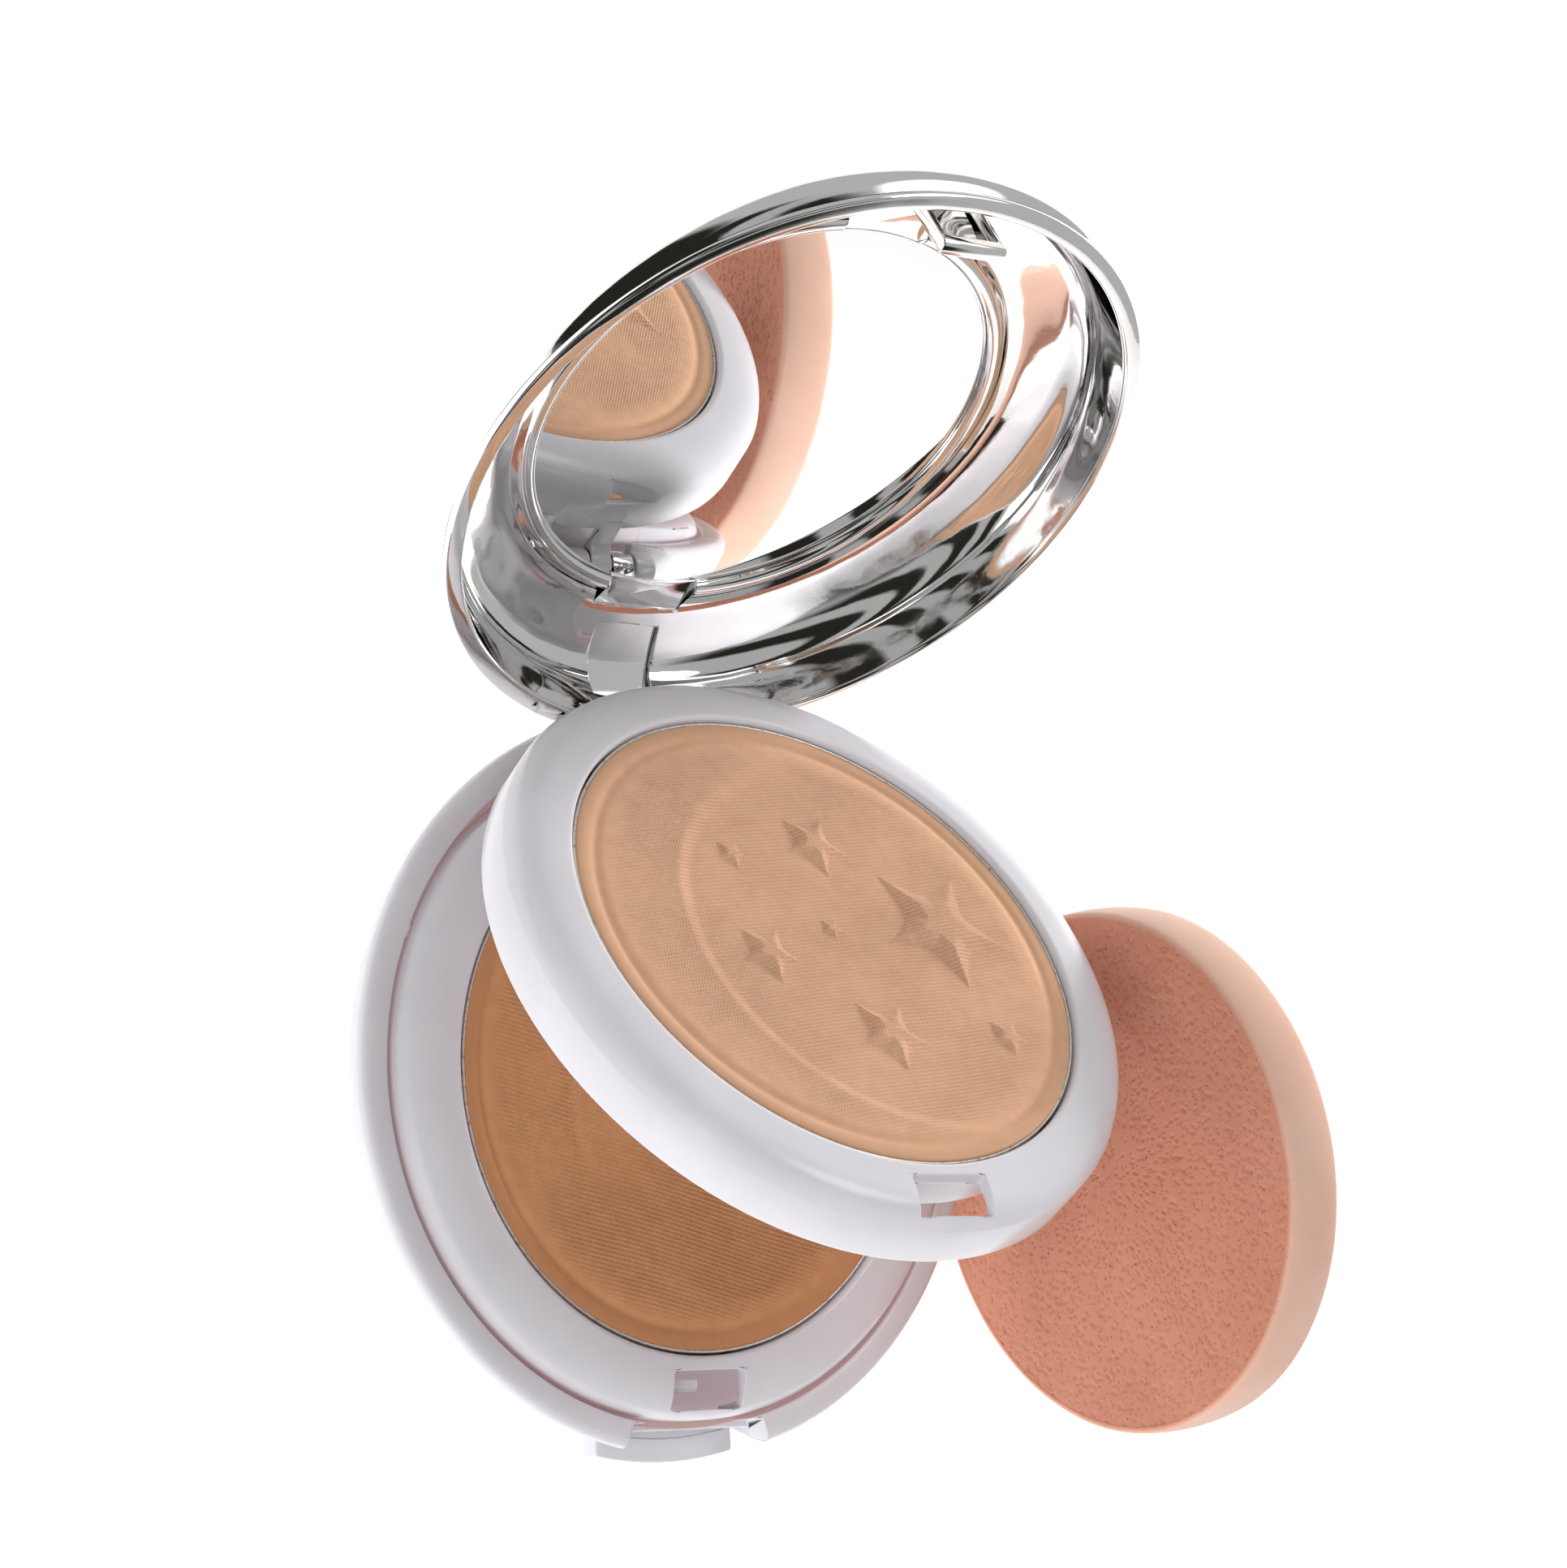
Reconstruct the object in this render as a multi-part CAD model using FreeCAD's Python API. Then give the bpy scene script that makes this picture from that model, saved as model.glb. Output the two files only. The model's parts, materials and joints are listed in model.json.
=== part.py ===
import FreeCAD, Part
import math
import os

# Three-tier powder compact, in millimetres.
# Origin: centre of the base's flat underside. +Z is up, the hinge is at +Y, the latch at -Y.
# Every leaf is drawn closed and then swung open about the hinge to its rest angle.

V = FreeCAD.Vector

# --- driving dimensions ---------------------------------------------------------------
PAN_R = 29.0              # radius of both pressed-powder pans
HINGE_Y = 36.8            # hinge pin axis, along X
HINGE_Z = 8.5
UPPER_OPEN = 32.0         # degrees that the upper tray stands open at rest
LID_OPEN = 123.0          # degrees that the lid stands open at rest

BASE_R = 39.8             # widest radius of the base, just under its rim
BASE_RIM_Z = 11.4
WELL_FLOOR_Z = 1.5        # floor of the puff well
WELL_R = 35.4
LEDGE_Z = 8.3             # ledge under the lower tray
RIM_INNER_R = 36.8

TRAY_R = 36.15            # outside radius of both trays
SKIRT_T = 1.2             # wall of a tray's skirt
POCKET_R = 29.5           # pocket that takes a pan
POCKET_WALL_T = 1.1
POCKET_FLOOR_T = 1.0
LOWER_TOP_Z = 13.9        # top of the lower tray's ring
LOWER_SKIRT_Z = 8.6       # bottom of the lower tray's skirt
UPPER_TOP_Z = 20.8
UPPER_SKIRT_Z = 13.2
UPPER_POCKET_Z = 16.4     # pocket floor, top face
LOWER_POCKET_Z = 9.7

PAN_T = 0.3               # sheet of the tin pans
PAN_H = 3.6
GLUE_T = 0.2              # glue pad between pan and pocket floor
POWDER_CROWN = 0.25       # how far the powder's face stands over the pan rim

WINDOW_HALF_X = 4.6       # latch window through each tray's ring
WINDOW_Y = (-35.1, -31.0)

PIN_R = 0.75
PIN_HALF_LENGTH = 11.3
PIN_RUNNING_GAP = 0.05
PIN_HELD_GAP = 0.02
KNUCKLE_R = 1.9
LOWER_KNUCKLE_X = 2.9
UPPER_KNUCKLE_X = (3.1, 5.9)
LID_KNUCKLE_X = (6.1, 8.9)
BASE_KNUCKLE_X = (9.1, 12.0)

MIRROR_R = 26.6
MIRROR_Z = 22.4           # face of the mirror with the lid closed
MIRROR_T = 1.0
MIRROR_PAD_T = 0.2
BACKPLATE_T = 0.5
LID_RIM_Z = 11.55         # underside of the lid's rim, just over the base's rim
SHELL_T = 0.65
SHELL_GAP = 0.12          # between the outer cover and the inner cover

PUFF_R = 29.0
PUFF_T = 7.0
PUFF_ROUND = 0.9
PUFF_FACE_DISTANCE = 41.9  # from the compact's axis to the puff's near face
PUFF_FACING = 187.0       # degrees from +X that the near face points
PUFF_ALONG = -17.0        # slide along its own face, towards the latch side

os.makedirs("parts", exist_ok=True)


# --- helpers --------------------------------------------------------------------------
def line(start, end):
    return Part.LineSegment(V(start[0], 0, start[1]), V(end[0], 0, end[1])).toShape()


def curve(points):
    spline = Part.BSplineCurve()
    spline.interpolate([V(r, 0, z) for r, z in points])
    return spline.toShape()


def turned(*stretches):
    """Solid of revolution about Z. A stretch is a list of (radius, z) points: two points give a
    straight line and more give one smooth curve. The stretches run end to end."""
    edges = []
    for points in stretches:
        edges.append(line(*points) if len(points) == 2 else curve(points))
    first, last = stretches[0][0], stretches[-1][-1]
    if math.dist(first, last) > 1e-6:
        edges.append(line(last, first))
    face = Part.Face(Part.Wire(edges))
    return face.revolve(V(0, 0, 0), V(0, 0, 1), 360)


def box(x, y, z):
    """Box between pairs of limits."""
    return Part.makeBox(x[1] - x[0], y[1] - y[0], z[1] - z[0], V(x[0], y[0], z[0]))


def disc(radius, z_low, z_high):
    return Part.makeCylinder(radius, z_high - z_low, V(0, 0, z_low))


def side_plate(outline, x_limits):
    """Plate cut to an outline of (y, z) points and lying between two x values."""
    points = [V(x_limits[0], y, z) for y, z in outline]
    face = Part.Face(Part.makePolygon(points + points[:1]))
    return face.extrude(V(x_limits[1] - x_limits[0], 0, 0))


def along_hinge(radius, x_limits):
    start = V(x_limits[0], HINGE_Y, HINGE_Z)
    return Part.makeCylinder(radius, x_limits[1] - x_limits[0], start, V(1, 0, 0))


def swung_open(shape, degrees):
    """Swing a closed leaf open about the hinge: its latch side rises."""
    opened = shape.copy()
    opened.rotate(V(0, HINGE_Y, HINGE_Z), V(-1, 0, 0), degrees)
    return opened


def both_sides(x_limits):
    return [x_limits, (-x_limits[1], -x_limits[0])]


def export(shape, name):
    clean = shape.removeSplitter()
    if not clean.isValid() or len(clean.Solids) != 1:
        clean = shape
    solid = clean.Solids[0] if len(clean.Solids) == 1 else clean
    print(name, "solids", len(clean.Solids), "valid", clean.isValid(), "cm3", round(clean.Volume / 1000, 3))
    solid.exportStep("parts/" + name + ".step")


# --- base -----------------------------------------------------------------------------
def make_base_shell():
    label_recess_r, label_recess_z = 26.6, 0.4
    shell = turned(
        [(0, label_recess_z), (label_recess_r, label_recess_z)],
        [(label_recess_r, label_recess_z), (label_recess_r + 0.5, 0)],
        [(label_recess_r + 0.5, 0), (31.0, 0)],
        [(31.0, 0), (34.6, 1.2), (37.4, 4.2), (39.2, 7.9), (BASE_R, 10.1)],
        [(BASE_R, 10.1), (39.65, 10.8), (39.1, 11.25), (38.4, BASE_RIM_Z)],
        [(38.4, BASE_RIM_Z), (37.2, BASE_RIM_Z)],
        [(37.2, BASE_RIM_Z), (RIM_INNER_R, 11.0)],
        [(RIM_INNER_R, 11.0), (RIM_INNER_R, LEDGE_Z)],
        [(RIM_INNER_R, LEDGE_Z), (WELL_R, LEDGE_Z)],
        [(WELL_R, LEDGE_Z), (35.0, 5.8), (33.6, 3.2), (31.2, WELL_FLOOR_Z)],
        [(31.2, WELL_FLOOR_Z), (0, WELL_FLOOR_Z)],
    )

    # flat at the back, so that the lid's rim can swing down behind it
    rear_flat_y = 37.0
    shell = shell.cut(box((-20, 20), (rear_flat_y, 45), (-1, 12)))

    # open bay for the knuckles of the lid and of both trays
    bay_floor_z = 5.0
    bay_half_x = BASE_KNUCKLE_X[0]
    shell = shell.cut(box((-bay_half_x, bay_half_x), (34.4, 45), (bay_floor_z, 12)))
    for limits in both_sides(BASE_KNUCKLE_X):
        shell = shell.fuse(along_hinge(KNUCKLE_R, limits))
        shell = shell.fuse(box(limits, (35.2, rear_flat_y), (4.0, HINGE_Z)))
    shell = shell.cut(along_hinge(PIN_R + PIN_HELD_GAP, (-PIN_HALF_LENGTH - 0.1, PIN_HALF_LENGTH + 0.1)))

    # thumb recess at the front, with a lip under it
    lip_half_x = 8.9
    lip = disc(40.3, 2.4, 4.9).cut(disc(35.0, 2.0, 5.0))
    lip = lip.common(box((-lip_half_x, lip_half_x), (-45, 0), (0, 6)))
    corners = [e for e in lip.Edges if max(math.hypot(v.X, v.Y) for v in e.Vertexes) > 40
               and min(math.hypot(v.X, v.Y) for v in e.Vertexes) > 40]
    lip = lip.makeFillet(0.8, corners)
    recess_inner, recess_outer = 8.4, 10.4
    plan = [V(-recess_inner, -36.2, 4.9), V(recess_inner, -36.2, 4.9),
            V(recess_outer, -42, 4.9), V(-recess_outer, -42, 4.9)]
    recess = Part.Face(Part.makePolygon(plan + plan[:1])).extrude(V(0, 0, 8))
    recess = recess.cut(box((-20, 20), (-37.0, -30), (0, LEDGE_Z)))
    shell = shell.cut(recess).fuse(lip)

    # two small stops on the rim's inner wall
    stop_angle = 24.0
    for side in (stop_angle, 180 - stop_angle):
        stop = box((36.5, 37.4), (-0.8, 0.8), (LEDGE_Z, 11.0))
        stop.rotate(V(0, 0, 0), V(0, 0, 1), side)
        shell = shell.fuse(stop)
    return shell


def make_base_catch():
    """Post behind the lid's hook. It stands on the well floor and shows in the lower tray's window."""
    post_front, post_back, post_top = -33.15, -31.9, 11.6
    foot_front, foot_back = -30.8, -29.8
    brace_top_z, chamfer = 7.6, 0.4
    outline = [(foot_front, WELL_FLOOR_Z), (post_front, 3.5), (post_front, post_top - chamfer),
               (post_front + chamfer, post_top), (post_back, post_top), (post_back, brace_top_z),
               (foot_back, WELL_FLOOR_Z)]
    return side_plate(outline, (-4.2, -0.2))


# --- trays ----------------------------------------------------------------------------
def make_tray(top_z, skirt_z, pocket_z, edge_drop):
    """Ring with a hanging skirt round it and a pan pocket in its middle.
    edge_drop is how far the ring's top falls from its inner lip to its rounded edge."""
    wall_r = POCKET_R + POCKET_WALL_T
    skirt_in = TRAY_R - SKIRT_T
    floor_z = pocket_z - POCKET_FLOOR_T
    edge_z = top_z - edge_drop
    tray = turned(
        [(0, pocket_z), (POCKET_R, pocket_z)],
        [(POCKET_R, pocket_z), (POCKET_R, top_z - 0.35)],
        [(POCKET_R, top_z - 0.35), (POCKET_R + 0.25, top_z - 0.08), (POCKET_R + 0.7, top_z)],
        [(POCKET_R + 0.7, top_z), (32.6, top_z - 0.2), (34.3, top_z - 0.7), (35.5, edge_z + 0.5),
         (TRAY_R, edge_z - 0.7)],
        [(TRAY_R, edge_z - 0.7), (TRAY_R, skirt_z + 0.3)],
        [(TRAY_R, skirt_z + 0.3), (TRAY_R - 0.3, skirt_z)],
        [(TRAY_R - 0.3, skirt_z), (skirt_in, skirt_z)],
        [(skirt_in, skirt_z), (skirt_in, edge_z - 0.75), (skirt_in - 0.6, edge_z + 0.05), (33.2, top_z - 1.6),
         (wall_r + 0.5, top_z - 1.45)],
        [(wall_r + 0.5, top_z - 1.45), (wall_r, top_z - 1.9)],
        [(wall_r, top_z - 1.9), (wall_r, floor_z)],
        [(wall_r, floor_z), (0, floor_z)],
    )
    window = box((-WINDOW_HALF_X, WINDOW_HALF_X), WINDOW_Y, (skirt_z - 1, top_z + 1))
    return tray.cut(window)


def bored_for_pin(shape):
    return shape.cut(along_hinge(PIN_R + PIN_RUNNING_GAP, (-20, 20)))


def make_lower_tray():
    tray = make_tray(LOWER_TOP_Z, LOWER_SKIRT_Z, LOWER_POCKET_Z, 1.9)
    # the ring draws in towards the hinge, and its skirt follows
    relief_r, relief_centre = 38.9, V(0, -4.0, 0)
    tray = tray.common(Part.makeCylinder(relief_r, 40, relief_centre))
    rear_skirt = Part.makeCylinder(relief_r, 12.6, relief_centre)
    rear_skirt = rear_skirt.cut(Part.makeCylinder(relief_r - SKIRT_T, 40, relief_centre))
    rear_skirt = rear_skirt.common(box((-22, 22), (20, 40), (LOWER_SKIRT_Z, 12.6)))
    tray = tray.fuse(rear_skirt.common(disc(TRAY_R - 0.1, 0, 40)))
    limits = (-LOWER_KNUCKLE_X, LOWER_KNUCKLE_X)
    arm = side_plate([(34.2, 8.6), (HINGE_Y, 6.7), (HINGE_Y, 10.3), (34.2, 11.4)], limits)
    tray = tray.fuse([arm, along_hinge(KNUCKLE_R, limits)])
    return bored_for_pin(tray)


def make_upper_tray():
    tray = make_tray(UPPER_TOP_Z, UPPER_SKIRT_Z, UPPER_POCKET_Z, 2.1)
    # fingernail notch in the skirt, to the right of the latch
    notch_angle, notch_r, notch_z, notch_start = math.radians(-56), 3.2, 12.6, 33.5
    outward = V(math.cos(notch_angle), math.sin(notch_angle), 0)
    tray = tray.cut(Part.makeCylinder(notch_r, 5, outward * notch_start + V(0, 0, notch_z), outward))
    # flat notch in the ring's rear edge, beside the hinge
    tray = tray.cut(box((2.0, 12.5), (34.9, 40), (17.2, 22)))
    for limits in both_sides(UPPER_KNUCKLE_X):
        arm = side_plate([(35.2, HINGE_Z), (35.2, 14.5), (36.0, 14.5), (36.1, 11.2), (37.4, 10.2),
                          (38.6, HINGE_Z + 0.6), (38.6, HINGE_Z)], limits)
        tray = tray.fuse([arm, along_hinge(KNUCKLE_R, limits)])
    return bored_for_pin(tray)


def make_pan(pocket_z):
    bottom = pocket_z + GLUE_T
    return turned(
        [(0, bottom), (PAN_R - 0.2, bottom)],
        [(PAN_R - 0.2, bottom), (PAN_R + 0.25, bottom + 0.45)],
        [(PAN_R + 0.25, bottom + 0.45), (PAN_R + 0.25, bottom + PAN_H)],
        [(PAN_R + 0.25, bottom + PAN_H), (PAN_R + 0.25 - PAN_T, bottom + PAN_H)],
        [(PAN_R + 0.25 - PAN_T, bottom + PAN_H), (PAN_R + 0.25 - PAN_T, bottom + PAN_T + 0.3)],
        [(PAN_R + 0.25 - PAN_T, bottom + PAN_T + 0.3), (PAN_R - 0.4, bottom + PAN_T)],
        [(PAN_R - 0.4, bottom + PAN_T), (0, bottom + PAN_T)],
    )


def make_powder(pocket_z):
    bottom = pocket_z + GLUE_T + PAN_T
    rim = pocket_z + GLUE_T + PAN_H
    radius = PAN_R + 0.25 - PAN_T
    return turned(
        [(0, bottom), (PAN_R - 0.4, bottom)],
        [(PAN_R - 0.4, bottom), (radius, bottom + 0.3)],
        [(radius, bottom + 0.3), (radius, rim - 0.3)],
        [(radius, rim - 0.3), (radius - 0.7, rim + 0.1), (radius - 2.2, rim + POWDER_CROWN)],
        [(radius - 2.2, rim + POWDER_CROWN), (0, rim + POWDER_CROWN)],
    )


def make_glue_pad(pocket_z):
    return disc(22.0, pocket_z, pocket_z + GLUE_T)


# --- lid ------------------------------------------------------------------------------
DOME = [(39.2, 12.4), (39.6, 13.6), (39.55, 15.2), (39.0, 17.0), (37.95, 18.7), (36.5, 20.2), (34.5, 21.5),
        (31.2, 23.0), (26.8, 24.6), (19.0, 26.0), (9.5, 26.5), (0, 26.6)]
BAND = [(28.3, 22.3), (29.3, 22.25), (30.9, 21.8), (33.3, 20.8), (35.3, 19.7), (36.6, 18.1), (37.05, 16.2),
        (37.15, 14.5), (37.15, 12.4)]


def inset(points, distance):
    """Shift a run of (radius, z) points to its inner side, square to the line at each point."""
    moved = []
    for i, (r, z) in enumerate(points):
        before, after = points[max(i - 1, 0)], points[min(i + 1, len(points) - 1)]
        run, rise = after[0] - before[0], after[1] - before[1]
        length = math.hypot(run, rise)
        moved.append((r - distance * rise / length, z + distance * run / length))
    return moved


def make_lid_shell():
    """Domed outer cover, one smooth curve from rim to crown. Its edge sits on the inner cover's rim."""
    inside = inset(DOME[:-1], SHELL_T) + [(0, DOME[-1][1] - SHELL_T)]
    return turned(list(reversed(inside)), [inside[0], DOME[0]], DOME)


def make_lid_frame():
    """Inner cover: flat rolled rim, hollow band, mirror bead, backplate and knuckles."""
    pad_z = MIRROR_Z + MIRROR_T + MIRROR_PAD_T
    back_z = pad_z + BACKPLATE_T
    seat_r = MIRROR_R + 0.1
    bead_z = MIRROR_Z - 0.05
    rim_r, rim_top_z = 39.25, 12.3
    outside = inset(DOME[:9], SHELL_T + SHELL_GAP)
    outside[0] = (38.4, rim_top_z)
    frame = turned(
        [(0, pad_z), (seat_r, pad_z)],
        [(seat_r, pad_z), (seat_r, bead_z)],
        [(seat_r, bead_z), (25.5, bead_z)],
        [(25.5, bead_z), (25.75, 21.75), (26.4, 21.4), (27.1, 21.45), (27.75, 21.9), BAND[0]],
        BAND,
        [BAND[-1], (37.22, 11.8), (37.5, LID_RIM_Z)],
        [(37.5, LID_RIM_Z), (38.85, LID_RIM_Z)],
        [(38.85, LID_RIM_Z), (39.15, 11.7), (rim_r, 12.0)],
        [(rim_r, 12.0), (rim_r, rim_top_z)],
        [(rim_r, rim_top_z), outside[0]],
        outside,
        [outside[-1], (25.4, back_z)],
        [(25.4, back_z), (0, back_z)],
    )

    # the bead stops short at the latch and at the hinge, so that the mirror snaps in
    bead_top_z = MIRROR_Z - 0.06
    for half_x, y_limits in ((5.2, (-29.4, -24.0)), (5.6, (24.0, 29.4))):
        frame = frame.cut(box((-half_x, half_x), y_limits, (20, bead_top_z)))

    # channel for the trays' hinge arms, through the band to the outer shell
    frame = frame.cut(box((-4.1, 4.1), (31.6, 42), (11, 24.5)))

    for limits in both_sides(LID_KNUCKLE_X):
        arm = side_plate([(36.5, 13.6), (36.8, 13.6), (38.0, 11.6), (38.6, 10.0), (38.6, HINGE_Z),
                          (35.0, HINGE_Z), (35.7, 10.6), (36.5, 11.9)], limits)
        frame = frame.fuse([arm, along_hinge(KNUCKLE_R, limits)])
    return bored_for_pin(frame)


def make_lid_hook():
    """Latch hook: it drops through both trays' windows. Its front is hollow above a solid nose."""
    half_x, wall = 4.05, 0.7
    front, back = -35.0, -33.4
    tip_z, nose_top_z, root_z = 9.4, 10.9, 22.0
    hook = box((-half_x, half_x), (front, back), (tip_z, root_z))
    tip_edges = [e for e in hook.Edges if all(abs(v.Z - tip_z) < 0.001 and abs(v.Y - front) < 0.001
                                              for v in e.Vertexes)]
    hook = hook.makeFillet(0.6, tip_edges)
    hollow = box((-half_x + wall, half_x - wall), (front - 1, back - 0.5), (nose_top_z, 18.6))
    beyond_r, beyond_z = 45, 30
    above_band = turned(BAND, [BAND[-1], (beyond_r, BAND[-1][1])], [(beyond_r, BAND[-1][1]), (beyond_r, beyond_z)],
                        [(beyond_r, beyond_z), (BAND[0][0], beyond_z)], [(BAND[0][0], beyond_z), BAND[0]])
    return hook.cut(hollow).cut(above_band)


def make_mirror():
    glass = disc(MIRROR_R, MIRROR_Z, MIRROR_Z + MIRROR_T)
    return glass.makeChamfer(0.15, [e for e in glass.Edges if e.Length > 100])


def make_mirror_pad():
    return disc(24.5, MIRROR_Z + MIRROR_T, MIRROR_Z + MIRROR_T + MIRROR_PAD_T)


# --- loose and standard pieces --------------------------------------------------------
def make_hinge_pin():
    pin = along_hinge(PIN_R, (-PIN_HALF_LENGTH, PIN_HALF_LENGTH))
    return pin.makeChamfer(0.15, [e for e in pin.Edges if abs(e.Length - 2 * math.pi * PIN_R) < 0.01])


def make_base_label():
    return disc(25.5, 0.25, 0.4)


def make_puff():
    """Round sponge stood on its edge beside the compact."""
    puff = disc(PUFF_R, 0, PUFF_T)
    puff = puff.makeFillet(PUFF_ROUND, [e for e in puff.Edges if e.Length > 100])
    # its +Z face becomes the near face, PUFF_FACING degrees round from +X
    puff.rotate(V(0, 0, 0), V(0, 1, 0), 90)
    puff.translate(V(-PUFF_FACE_DISTANCE - PUFF_T, -PUFF_ALONG, PUFF_R))
    puff.rotate(V(0, 0, 0), V(0, 0, 1), PUFF_FACING)
    return puff


# --- build ----------------------------------------------------------------------------
lower_pieces = {
    "lower_tray": make_lower_tray(),
    "lower_pan": make_pan(LOWER_POCKET_Z),
    "lower_powder": make_powder(LOWER_POCKET_Z),
    "lower_pan_glue": make_glue_pad(LOWER_POCKET_Z),
}
upper_pieces = {
    "upper_tray": make_upper_tray(),
    "upper_pan": make_pan(UPPER_POCKET_Z),
    "upper_powder": make_powder(UPPER_POCKET_Z),
    "upper_pan_glue": make_glue_pad(UPPER_POCKET_Z),
}
lid_pieces = {
    "lid_shell": make_lid_shell(),
    "lid_frame": make_lid_frame(),
    "lid_hook": make_lid_hook(),
    "mirror": make_mirror(),
    "mirror_pad": make_mirror_pad(),
}
base_pieces = {
    "base_shell": make_base_shell(),
    "base_catch": make_base_catch(),
    "base_label": make_base_label(),
    "hinge_pin": make_hinge_pin(),
    "puff": make_puff(),
}

leaves = ((base_pieces, 0), (lower_pieces, 0), (upper_pieces, UPPER_OPEN), (lid_pieces, LID_OPEN))
for pieces, angle in leaves:
    for name, shape in pieces.items():
        export(swung_open(shape, angle), name)
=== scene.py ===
import json
import math

import bmesh
import bpy
import numpy as np
from mathutils import Matrix, Vector


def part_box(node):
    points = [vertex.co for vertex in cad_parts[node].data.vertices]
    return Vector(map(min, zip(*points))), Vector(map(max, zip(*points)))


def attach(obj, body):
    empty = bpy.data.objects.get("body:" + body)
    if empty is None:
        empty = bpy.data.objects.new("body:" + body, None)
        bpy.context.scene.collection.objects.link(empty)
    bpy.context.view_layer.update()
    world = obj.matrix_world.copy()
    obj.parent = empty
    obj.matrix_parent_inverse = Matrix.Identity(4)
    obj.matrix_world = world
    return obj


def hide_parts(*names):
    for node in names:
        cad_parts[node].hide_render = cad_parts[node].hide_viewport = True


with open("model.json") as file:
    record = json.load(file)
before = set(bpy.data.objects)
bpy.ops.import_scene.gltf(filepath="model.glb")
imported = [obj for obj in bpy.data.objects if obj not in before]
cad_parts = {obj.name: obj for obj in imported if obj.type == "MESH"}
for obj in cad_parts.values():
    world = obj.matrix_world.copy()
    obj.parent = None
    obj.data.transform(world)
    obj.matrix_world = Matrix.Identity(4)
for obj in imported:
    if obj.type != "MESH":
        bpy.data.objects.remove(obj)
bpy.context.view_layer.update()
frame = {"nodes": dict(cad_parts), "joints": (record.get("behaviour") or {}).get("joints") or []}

# Profiles and outlines are written in millimetres with every leaf closed, as the CAD draws them.
# place() then swings a leaf open about the hinge and brings it to metres.
MM = 0.001
joints = {joint["name"]: joint for joint in frame["joints"]}
HINGE = Vector(joints["lid_hinge"]["pos_m"])
HINGE_Y, HINGE_Z = HINGE.y / MM, HINGE.z / MM
UPPER_OPEN = -joints["upper_tray_hinge"]["range_deg"][0]
LID_OPEN = UPPER_OPEN - joints["lid_hinge"]["range_deg"][0]

TURN_SEGMENTS = 320       # facets round a turned piece
LID_SEGMENTS = 384        # chrome shows its facets sooner
POWDER_R = 28.95
POCKET_R = 29.5           # pocket in a tray that takes a pan
TRAY_R = 36.15
SKIRT_T = 1.2             # wall of a tray's skirt
MIRROR_R, MIRROR_Z, MIRROR_T = 26.6, 22.4, 1.0
LOWER_POCKET_Z, UPPER_POCKET_Z = 9.7, 16.4
PAN_RIM_ABOVE_POCKET = 3.8
POWDER_DEPTH = 3.2
KNUCKLE_R = 1.9
PIN_HOLE_R = 0.8
rng = np.random.default_rng(7)


# --- mesh helpers ---------------------------------------------------------------------
def smooth_line(points, spacing=0.28):
    """Points along a natural cubic spline through the given (r, z) points."""
    p = np.array(points, float)
    if len(p) == 2:
        return p
    t = np.concatenate([[0], np.cumsum(np.linalg.norm(np.diff(p, axis=0), axis=1))])
    h = np.diff(t)
    n = len(p)
    system, rhs = np.eye(n), np.zeros((n, 2))
    for i in range(1, n - 1):
        system[i, i - 1:i + 2] = h[i - 1], 2 * (h[i - 1] + h[i]), h[i]
        rhs[i] = 6 * ((p[i + 1] - p[i]) / h[i] - (p[i] - p[i - 1]) / h[i - 1])
    bend = np.linalg.solve(system, rhs)
    made = []
    for i in range(n - 1):
        steps = max(2, math.ceil(h[i] / spacing))
        for s in np.arange(steps) / steps * h[i]:
            a, b = (h[i] - s) / h[i], s / h[i]
            curve = a * p[i] + b * p[i + 1]
            curve = curve + ((a ** 3 - a) * bend[i] + (b ** 3 - b) * bend[i + 1]) * h[i] ** 2 / 6
            made.append(curve)
    made.append(p[-1])
    return np.array(made)


def new_object(name, mesh):
    obj = bpy.data.objects.new(name, mesh)
    bpy.context.scene.collection.objects.link(obj)
    return obj


def turned(name, *stretches, segments=TURN_SEGMENTS):
    """Closed solid of revolution about Z from stretches of (r, z) points run end to end."""
    outline = []
    for points in stretches:
        for point in smooth_line(points):
            if not outline or math.dist(outline[-1], point) > 1e-4:
                outline.append(tuple(point))
    if math.dist(outline[0], outline[-1]) < 1e-4:
        outline.pop()
    mesh = bmesh.new()
    rings = []
    angles = np.arange(segments) * 2 * math.pi / segments
    for r, z in outline:
        if r < 1e-6:
            rings.append([mesh.verts.new((0, 0, z))])
        else:
            rings.append([mesh.verts.new((r * math.cos(a), r * math.sin(a), z)) for a in angles])
    for ring, following in zip(rings, rings[1:] + rings[:1]):
        if len(ring) == 1 and len(following) == 1:
            continue
        for i in range(segments):
            j = (i + 1) % segments
            corners = [ring[i % len(ring)], ring[j % len(ring)],
                       following[j % len(following)], following[i % len(following)]]
            mesh.faces.new(list(dict.fromkeys(corners)))
    bmesh.ops.recalc_face_normals(mesh, faces=mesh.faces)
    data = bpy.data.meshes.new(name)
    mesh.to_mesh(data)
    mesh.free()
    return new_object(name, data)


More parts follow.
